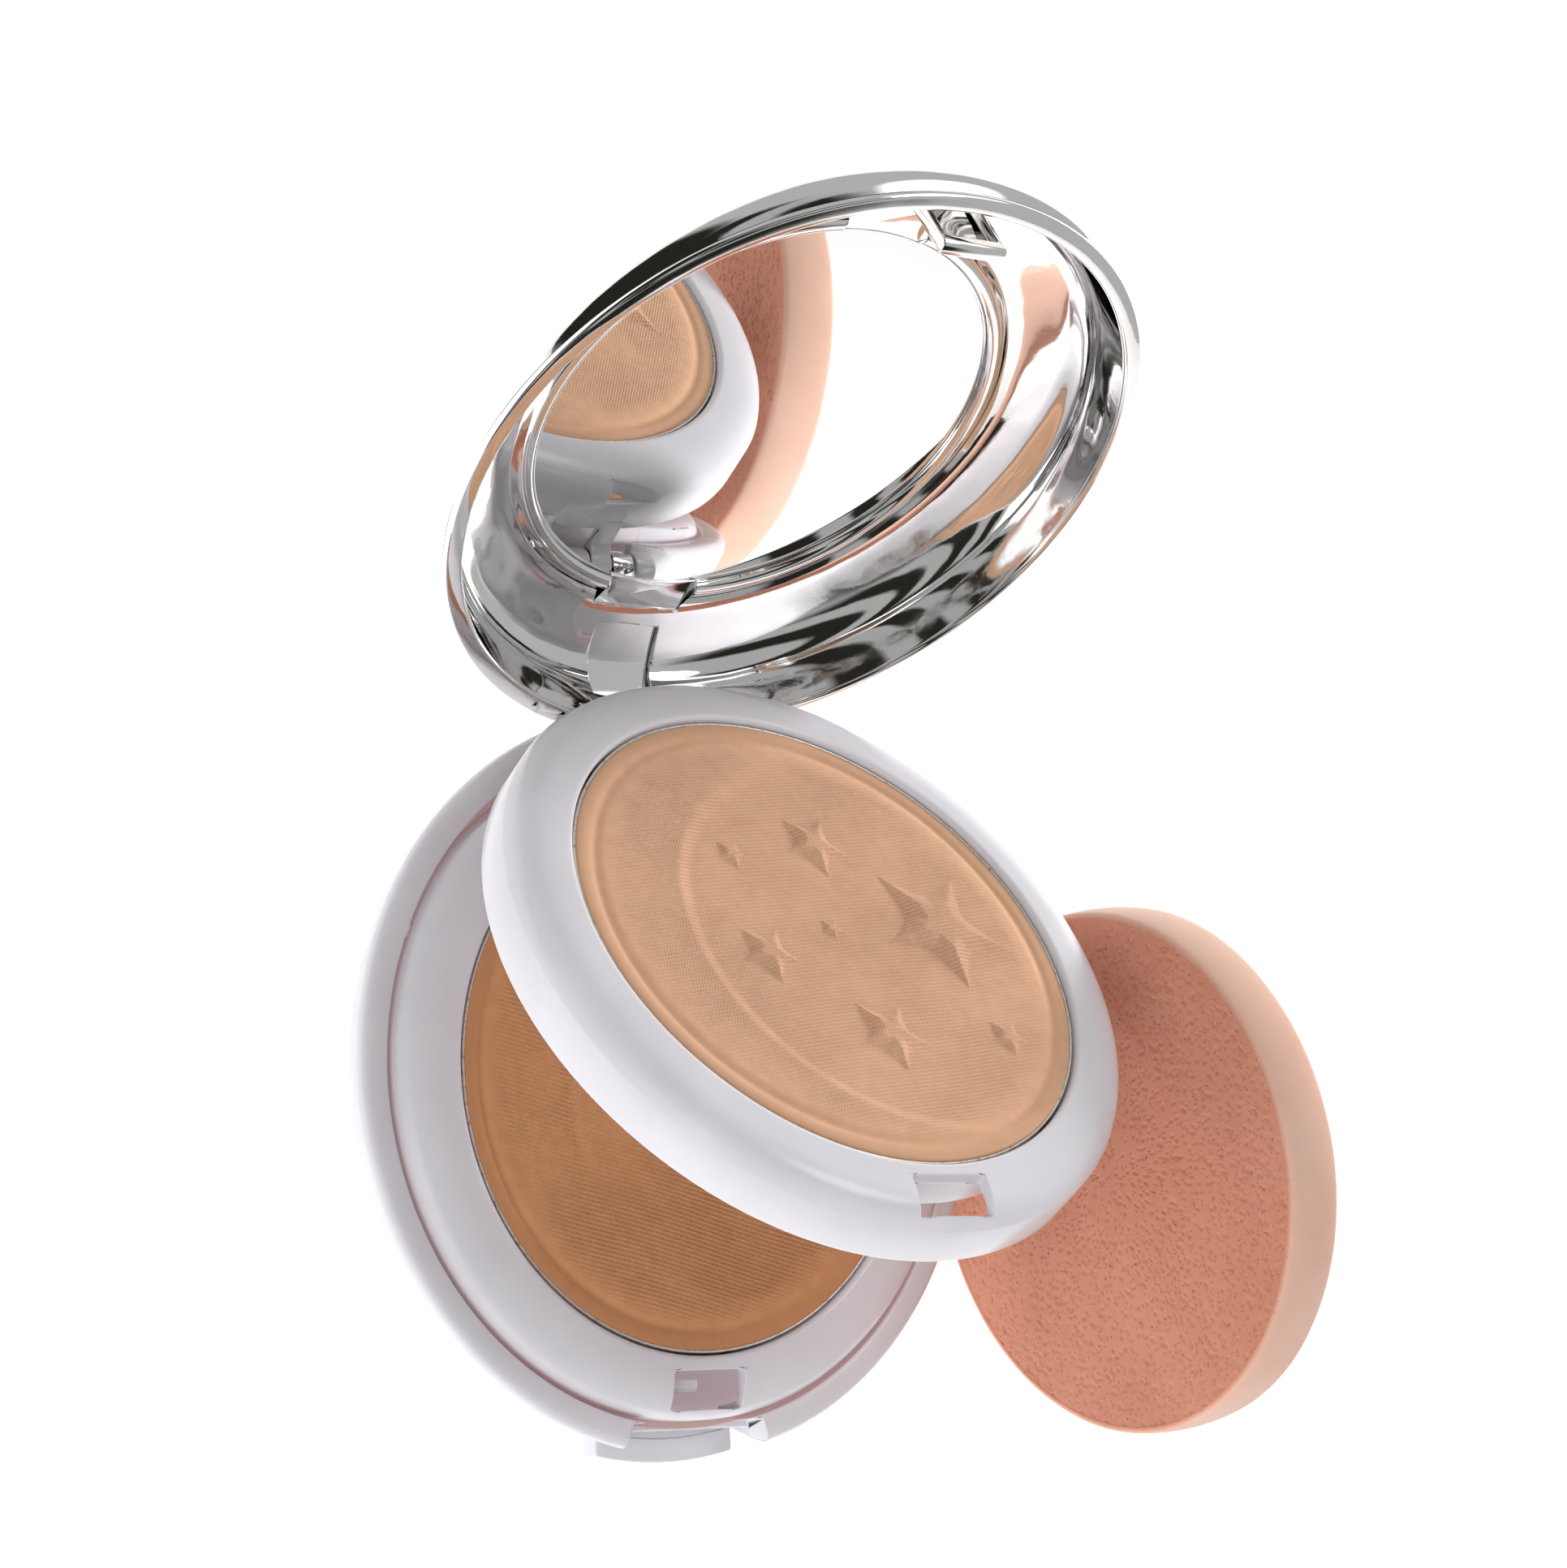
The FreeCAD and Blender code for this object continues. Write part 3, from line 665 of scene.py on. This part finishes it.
def powder_mesh(name, pocket_z, relief):
    """Cake with a finely gridded face, so that the pressed pattern is real shape. Its border is finest."""
    rim_z = pocket_z + PAN_RIM_ABOVE_POCKET
    floor_z = rim_z - POWDER_DEPTH
    field_rings, border_rings, border_r, around = 139, 50, 27.0, 720
    mesh = bmesh.new()
    radii = np.concatenate([np.linspace(0, border_r, field_rings + 1)[1:],
                            np.linspace(border_r, POWDER_R, border_rings + 1)[1:]])
    angles = np.arange(around) * 2 * math.pi / around
    r_grid, a_grid = np.meshgrid(radii, angles, indexing="ij")
    x, y = r_grid * np.cos(a_grid), r_grid * np.sin(a_grid)
    z = rim_z + border_height(r_grid) + relief(x, y)
    middle = np.array(0.0)
    centre = mesh.verts.new((0, 0, rim_z + border_height(middle) + float(relief(middle, middle))))
    rows = [[mesh.verts.new(p) for p in zip(xr, yr, zr)] for xr, yr, zr in zip(x, y, z)]
    foot = [mesh.verts.new((POWDER_R * math.cos(a), POWDER_R * math.sin(a), floor_z)) for a in angles]
    for i in range(around):
        j = (i + 1) % around
        mesh.faces.new((centre, rows[0][i], rows[0][j]))
        for inner, outer in zip(rows, rows[1:]):
            mesh.faces.new((inner[i], outer[i], outer[j], inner[j]))
        mesh.faces.new((rows[-1][i], foot[i], foot[j], rows[-1][j]))
    mesh.faces.new(list(reversed(foot)))
    data = bpy.data.meshes.new(name)
    mesh.to_mesh(data)
    mesh.free()
    return shade(new_object(name, data), 60)


def make_upper_powder():
    """Stars inside a crescent, on a face that is not quite flat."""
    def relief(x, y):
        stars = sum(star_height(x, y, *star) for star in STARS)
        return crescent_height(x, y) + stars + 0.02 * np.sin(x * 0.31) * np.cos(y * 0.27)

    powder = powder_mesh("upper_powder_cake", UPPER_POCKET_Z, relief)
    give(powder, materials["light_powder"])
    return place(powder, UPPER_OPEN, "upper_leaf", "light_powder", "upper_powder")


def make_lower_powder():
    """Only a faint arc, where the crescent is on the upper powder."""
    def relief(x, y):
        outside, round_to_tip = from_crescent(x, y)
        arc = 0.1 * np.exp(-(outside / 0.9) ** 2) * (round_to_tip < 12)
        return arc + 0.02 * np.sin(x * 0.29 + y * 0.2)

    powder = powder_mesh("lower_powder_cake", LOWER_POCKET_Z, relief)
    give(powder, materials["dark_powder"])
    return place(powder, 0, "lower_leaf", "dark_powder", "lower_powder")


# --- lid ------------------------------------------------------------------------------
SHELL_T = 0.65
SHELL_GAP = 0.12          # between the outer cover and the inner cover
BACK_Z = 24.1             # back of the inner cover, over the mirror
DOME = [(39.2, 12.4), (39.6, 13.6), (39.55, 15.2), (39.0, 17.0), (37.95, 18.7), (36.5, 20.2), (34.5, 21.5),
        (31.2, 23.0), (26.8, 24.6), (19.0, 26.0), (9.5, 26.5), (0, 26.6)]
BAND = [(28.3, 22.3), (29.3, 22.25), (30.9, 21.8), (33.3, 20.8), (35.3, 19.7), (36.6, 18.1), (37.05, 16.2),
        (37.15, 14.5), (37.15, 12.4)]


def inset(points, distance):
    """Shift a run of (radius, z) points to its inner side, square to the line at each point."""
    moved = []
    for i, (r, z) in enumerate(points):
        before, after = points[max(i - 1, 0)], points[min(i + 1, len(points) - 1)]
        run, rise = after[0] - before[0], after[1] - before[1]
        length = math.hypot(run, rise)
        moved.append((r - distance * rise / length, z + distance * run / length))
    return moved


def make_lid_shell():
    """Domed outer cover, one smooth curve from rim to crown."""
    inside = inset(DOME[:-1], SHELL_T) + [(0, DOME[-1][1] - SHELL_T)]
    shell = turned("lid_outer_cover", inside[::-1], [inside[0], DOME[0]], DOME, segments=LID_SEGMENTS)
    shade(shell, 50)
    give(shell, materials["chrome"])
    return place(shell, LID_OPEN, "lid", "chrome_plastic", "lid_shell")


def make_lid_frame():
    """Inner cover: flat rolled rim, hollow band, mirror bead, backplate and knuckles."""
    seat_r, seat_z, bead_r, bead_z = 26.7, 23.6, 25.5, MIRROR_Z - 0.05
    rim_z, rim_r, rim_top_z = 11.55, 39.25, 12.3
    outside = inset(DOME[:9], SHELL_T + SHELL_GAP)
    outside[0] = (38.4, rim_top_z)
    inner = turned(
        "lid_inner_cover",
        [(0, seat_z), (seat_r, seat_z)],
        [(seat_r, seat_z), (seat_r, bead_z)],
        [(seat_r, bead_z), (bead_r, bead_z)],
        [(bead_r, bead_z), (25.75, 21.75), (26.4, 21.4), (27.1, 21.45), (27.75, 21.9), BAND[0]],
        BAND,
        [BAND[-1], (37.22, 11.8), (37.5, rim_z)],
        [(37.5, rim_z), (38.85, rim_z)],
        [(38.85, rim_z), (39.15, 11.7), (rim_r, 12.0)],
        [(rim_r, 12.0), (rim_r, rim_top_z)],
        [(rim_r, rim_top_z), outside[0]],
        outside,
        [outside[-1], (25.4, BACK_Z)],
        [(25.4, BACK_Z), (0, BACK_Z)],
        segments=LID_SEGMENTS,
    )

    # the bead stops short at the latch and at the hinge, so that the mirror snaps in
    bead_top_z = MIRROR_Z - 0.06
    cut(inner, block((-5.2, 5.2), (-29.4, -24.0), (20, bead_top_z)))
    cut(inner, block((-5.6, 5.6), (24.0, 29.4), (20, bead_top_z)))

    # channel for the trays' hinge arms
    cut(inner, block((-4.1, 4.1), (31.6, 42), (11, 24.5)))
    for limits in both_sides((6.1, 8.9)):
        arm = prism([(36.5, 13.6), (36.8, 13.6), (38.0, 11.6), (38.6, 10.0), (38.6, HINGE_Z), (35.0, HINGE_Z),
                     (35.7, 10.6), (36.5, 11.9)], *limits, axis="X")
        add(inner, arm, round_bar(KNUCKLE_R, limits))
    cut(inner, pin_hole())
    soften(inner, 0.1)
    give(inner, materials["chrome"])
    return place(inner, LID_OPEN, "lid", "chrome_plastic", "lid_frame")


def make_lid_hook():
    """Latch hook: hollow at the front over a rounded nose, and trimmed to the band it hangs from."""
    front, back, tip, root, nose_r = -35.0, -33.4, 9.4, 22.0, 0.6
    half_x, wall = 4.05, 0.7
    side = [(back, tip)]
    for a in np.linspace(0, math.pi / 2, 6):
        side.append((front + nose_r - nose_r * math.sin(a), tip + nose_r - nose_r * math.cos(a)))
    side += [(front, root), (back, root)]
    hook = prism(side, -half_x, half_x, axis="X")
    cut(hook, block((-half_x + wall, half_x - wall), (front - 1, back - 0.5), (10.9, 18.6)))
    beyond_r, beyond_z = 45, 30
    (start_r, _), (_, end_z) = BAND[0], BAND[-1]
    trim = turned("trim", BAND, [BAND[-1], (beyond_r, end_z)], [(beyond_r, end_z), (beyond_r, beyond_z)],
                  [(beyond_r, beyond_z), (start_r, beyond_z)], [(start_r, beyond_z), BAND[0]])
    cut(hook, trim)
    soften(hook, 0.16)
    give(hook, materials["chrome"])
    return place(hook, LID_OPEN, "lid", "chrome_plastic", "lid_hook")


def make_mirror():
    """Round glass with a narrow bevel on its face."""
    bevel_r, bevel_z, back_z = MIRROR_R - 0.3, MIRROR_Z + 0.2, MIRROR_Z + MIRROR_T
    mirror = turned(
        "mirror_disc",
        [(0, MIRROR_Z), (bevel_r, MIRROR_Z)],
        [(bevel_r, MIRROR_Z), (MIRROR_R, bevel_z)],
        [(MIRROR_R, bevel_z), (MIRROR_R, back_z)],
        [(MIRROR_R, back_z), (0, back_z)],
        segments=LID_SEGMENTS,
    )
    shade(mirror, 10)
    give(mirror, materials["mirror"])
    return place(mirror, LID_OPEN, "lid", "mirror_glass", "mirror")


# --- puff -----------------------------------------------------------------------------
PUFF_R, PUFF_T, PUFF_CORNER = 29.0, 7.0, 0.9
PUFF_FACING = 187.0       # degrees from +X that its near face points


def pore_depth(x, y, pores, sizes):
    """Depth of the open pores at each place. The pores are sorted into cells, to look only at near ones."""
    cell, deepest = 0.9, 0.22
    buckets = {}
    for index, (px, py) in enumerate(pores):
        buckets.setdefault((int(px // cell), int(py // cell)), []).append(index)
    depth = np.zeros(x.size)
    flat_x, flat_y = x.ravel(), y.ravel()
    keys = np.stack([flat_x // cell, flat_y // cell], axis=1).astype(int)
    order = np.lexsort((keys[:, 1], keys[:, 0]))
    changes = np.flatnonzero((np.diff(keys[order], axis=0) != 0).any(axis=1)) + 1
    for members in np.split(order, changes):
        column, row = keys[members[0]]
        near = [i for dx in (-1, 0, 1) for dy in (-1, 0, 1) for i in buckets.get((column + dx, row + dy), ())]
        if near:
            d = np.hypot(flat_x[members, None] - pores[near, 0], flat_y[members, None] - pores[near, 1])
            depth[members] = (deepest * np.exp(-(d / sizes[near]) ** 2)).max(axis=1)
    return depth.reshape(x.shape)


def puff_side():
    """(radius, height) points up the barrelled side, from the low face to the high one."""
    points = []
    for t in np.linspace(-math.pi / 2, math.pi / 2, 26):
        offset = PUFF_CORNER * math.cos(t) + 0.12 * math.cos(t) ** 0.5 - 0.12
        reach = (PUFF_T / 2 - PUFF_CORNER) * min(1, abs(math.sin(t)) * 1.35)
        height = PUFF_T / 2 + math.sin(t) * PUFF_CORNER + reach * np.sign(math.sin(t))
        points.append((PUFF_R - PUFF_CORNER + offset, float(np.clip(height, 0, PUFF_T))))
    return points


def puff_mesh():
    """Foam disc lying flat: softly crowned faces, a side that is not quite round, and open pores on top."""
    around, face_rings = 720, 150
    pores = rng.uniform(-PUFF_R, PUFF_R, (5200, 2))
    sizes = rng.uniform(0.09, 0.24, len(pores))
    keep = np.hypot(pores[:, 0], pores[:, 1]) < PUFF_R - 1.2
    angles = np.arange(around) * 2 * math.pi / around
    lumps = sum(0.07 / k * np.sin(k * angles + rng.uniform(0, 6.3)) for k in (2, 3, 5, 9, 14))

    radii = np.linspace(0, PUFF_R - PUFF_CORNER, face_rings + 1)[1:-1]
    r_grid, a_grid = np.meshgrid(radii, angles, indexing="ij")
    x, y = r_grid * np.cos(a_grid), r_grid * np.sin(a_grid)
    crown = 0.05 * (1 - (r_grid / PUFF_R) ** 2)
    top = PUFF_T - 0.05 + crown - pore_depth(x, y, pores[keep], sizes[keep])
    bottom = 0.05 - crown
    squash = (1 + lumps[None, :] / PUFF_R * (r_grid / PUFF_R)) * 0.995
    x, y = x * squash, y * squash

    mesh = bmesh.new()
    top_rows = [[mesh.verts.new(p) for p in zip(xr, yr, zr)] for xr, yr, zr in zip(x, y, top)]
    low_rows = [[mesh.verts.new(p) for p in zip(xr, yr, zr)] for xr, yr, zr in zip(x, y, bottom)]
    reach = (PUFF_R + lumps - 0.2) / PUFF_R
    side_rows = []
    for r, z in puff_side():
        side_rows.append([mesh.verts.new((r * s * math.cos(a), r * s * math.sin(a), z))
                          for a, s in zip(angles, reach)])
    rows = low_rows + side_rows + top_rows[::-1]
    low_centre, top_centre = mesh.verts.new((0, 0, 0)), mesh.verts.new((0, 0, PUFF_T))
    for i in range(around):
        j = (i + 1) % around
        mesh.faces.new((low_centre, rows[0][j], rows[0][i]))
        mesh.faces.new((top_centre, rows[-1][i], rows[-1][j]))
        for row, following in zip(rows, rows[1:]):
            mesh.faces.new((row[i], row[j], following[j], following[i]))
    bmesh.ops.recalc_face_normals(mesh, faces=mesh.faces)
    data = bpy.data.meshes.new("puff_sponge")
    mesh.to_mesh(data)
    mesh.free()
    return data


def make_puff():
    """Stands the foam disc on its edge, in the middle of the CAD puff's box."""
    data = puff_mesh()
    puff = shade(new_object("puff_sponge", data), 60)
    keep_drawn_place(data)
    low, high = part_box("puff")
    stand = Matrix.Rotation(math.radians(90), 4, "Y") @ Matrix.Translation((0, 0, -PUFF_T / 2))
    stand = Matrix.Rotation(math.radians(PUFF_FACING), 4, "Z") @ stand
    data.transform(Matrix.Translation((low + high) / 2) @ Matrix.Scale(MM, 4) @ stand)
    data.update()
    give(puff, materials["foam"])
    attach(puff, "puff")
    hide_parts("puff")
    return puff


# --- stage, light and camera ----------------------------------------------------------
def make_floor():
    """Pale slab just under the rest face. It glows a little, so that it stays as pale as the backdrop."""
    reach, thickness, clearance = 3.0, 0.02, 0.0002
    floor = block((-reach, reach), (-reach, reach), (-thickness, -clearance))
    floor.name = "floor"
    s = Surface("floor_paper", Roughness=0.55, Emission_Color=(1, 1, 1, 1), Emission_Strength=0.62)
    here = s.object_place_mm()
    tone = s.mix(s.ramp(s.noise(here, 0.01, 2.0), 0.3, 0.7), (0.93, 0.93, 0.925), (0.95, 0.95, 0.95))
    s.set(Base_Color=tone)
    give(floor, s.material)


def make_world():
    """Bright studio with a dark side towards the viewer, broken into streaks, which the chrome picks up."""
    world = bpy.data.worlds.new("studio")
    bpy.context.scene.world = world
    world.use_nodes = True
    tree = world.node_tree
    background = tree.nodes["Background"]
    direction = tree.nodes.new("ShaderNodeTexCoord").outputs["Generated"]

    def node(kind, inputs=(), **settings):
        made = tree.nodes.new(kind)
        for key, value in settings.items():
            setattr(made, key, value)
        for index, value in dict(inputs).items():
            if isinstance(value, bpy.types.NodeSocket):
                tree.links.new(value, made.inputs[index])
            else:
                made.inputs[index].default_value = value
        return made

    def towards(x, y, z, edge, full):
        """1 inside a cone round a direction, 0 outside it; the limits are cosines."""
        axis = Vector((x, y, z)).normalized()
        aligned = node("ShaderNodeVectorMath", {0: direction, 1: axis}, operation="DOT_PRODUCT")
        share = aligned.outputs["Value"]
        return node("ShaderNodeMapRange", {0: share, 1: edge, 2: full},
                    interpolation_type="SMOOTHSTEP").outputs[0]

    wave = node("ShaderNodeTexWave", {"Vector": direction, "Scale": 1.25, "Distortion": 1.2, "Detail": 0.0,
                                      "Phase Offset": 0.6}, wave_type="BANDS", bands_direction="Z")
    streaks = node("ShaderNodeMapRange", {0: wave.outputs["Fac"], 1: 0.30, 2: 0.60,
                                          3: 0.12, 4: 1.0}).outputs[0]
    viewer = towards(-0.606, -0.161, 0.779, 0.46, 0.64)
    behind = towards(-0.85, 0.45, 0.15, 0.80, 0.90)
    low_front = towards(0.15, -0.95, 0.12, 0.86, 0.94)
    dark = node("ShaderNodeMath", {0: viewer, 1: streaks}, operation="MULTIPLY").outputs[0]
    dark = node("ShaderNodeMath", {0: dark, 1: behind}, operation="MAXIMUM").outputs[0]
    dark = node("ShaderNodeMath", {0: dark, 1: low_front}, operation="MAXIMUM").outputs[0]
    lamp = towards(0.45, 0.55, 0.70, 0.93, 0.96)
    shade_mix = node("ShaderNodeMix", {0: dark, 6: (0.86, 0.86, 0.87, 1), 7: (0.035, 0.036, 0.028, 1)},
                     data_type="RGBA").outputs[2]
    colour = node("ShaderNodeMix", {0: lamp, 6: shade_mix, 7: (2.6, 2.6, 2.55, 1)},
                  data_type="RGBA").outputs[2]
    tree.links.new(colour, background.inputs["Color"])
    background.inputs["Strength"].default_value = 0.55


def make_lamp(name, location, target, size, watts, reflected=False):
    """Round white lamp. Unless it is reflected, it lights the case but stays out of the chrome."""
    lamp = bpy.data.lights.new(name, "AREA")
    lamp.shape = "DISK"
    lamp.size = size
    lamp.energy = watts
    obj = bpy.data.objects.new(name, lamp)
    bpy.context.scene.collection.objects.link(obj)
    obj.location = location
    obj.rotation_mode = "QUATERNION"
    obj.rotation_quaternion = (Vector(target) - obj.location).to_track_quat("-Z", "Y")
    obj.visible_glossy = reflected


def make_camera():
    """Looks down on the open case from its left, turned so that the hinge side is up in the picture."""
    camera = bpy.data.cameras.new("camera")
    camera.sensor_width = 36.0
    camera.lens = 98.6
    camera.clip_start, camera.clip_end = 0.01, 20.0
    obj = bpy.data.objects.new("camera", camera)
    bpy.context.scene.collection.objects.link(obj)
    obj.location = (-0.2709, -0.0433, 0.3801)
    forward = Vector((0.6061, 0.1607, -0.7790)).normalized()
    up = Vector((-0.0540, 0.9850, 0.1610))
    right = forward.cross(up).normalized()
    up = right.cross(forward)
    obj.matrix_world = Matrix.Translation(obj.location) @ Matrix((right, up, -forward)).transposed().to_4x4()
    bpy.context.scene.camera = obj


# --- build ----------------------------------------------------------------------------
materials = {
    "white": white_plastic(),
    "base": white_plastic("base_plastic", gap_shade_and_glow=True),
    "chrome": chrome(),
    "mirror": mirror_glass(),
    "tin": pan_tin(),
    "light_powder": pressed_powder("light_powder", (0.80, 0.47, 0.29), (0.73, 0.41, 0.245), 0.44, -8.0),
    "dark_powder": pressed_powder("dark_powder", (0.70, 0.335, 0.155), (0.63, 0.29, 0.13), 0.46, 14.0),
    "foam": foam(),
}

make_base()
make_lower_tray()
make_upper_tray()
make_pan("lower_pan_tin", LOWER_POCKET_Z, 0, "lower_leaf", "lower_pan")
make_pan("upper_pan_tin", UPPER_POCKET_Z, UPPER_OPEN, "upper_leaf", "upper_pan")
make_lower_powder()
make_upper_powder()
make_lid_shell()
make_lid_frame()
make_lid_hook()
make_mirror()
make_puff()

give(frame["nodes"]["base_catch"], white_plastic("catch_plastic", Surface.object_place_mm))
give(frame["nodes"]["base_label"], plain_object("label_paper", (0.80, 0.80, 0.79), (0.85, 0.85, 0.84), 0.45))
give(frame["nodes"]["hinge_pin"],
     plain_object("pin_steel", (0.56, 0.56, 0.57), (0.66, 0.66, 0.66), 0.25, metallic=1.0))
for node in ("lower_pan_glue", "upper_pan_glue", "mirror_pad"):
    give(frame["nodes"][node], plain_object(node + "_glue", (0.72, 0.68, 0.55), (0.80, 0.76, 0.64), 0.4))

make_floor()
make_world()
make_lamp("key", (0.85, 0.42, 0.10), (0.01, 0.01, 0.025), 0.22, 8.5)
make_lamp("top", (0.35, 0.30, 0.95), (0, 0.01, 0.02), 0.35, 1.6, reflected=True)
make_lamp("fill", (-0.55, -0.30, 0.42), (0, 0.01, 0.01), 0.6, 2.7)
make_lamp("low", (-0.15, -0.60, 0.06), (0, -0.03, 0.006), 0.35, 0.9)
make_camera()
bpy.context.scene.view_settings.view_transform = "Standard"
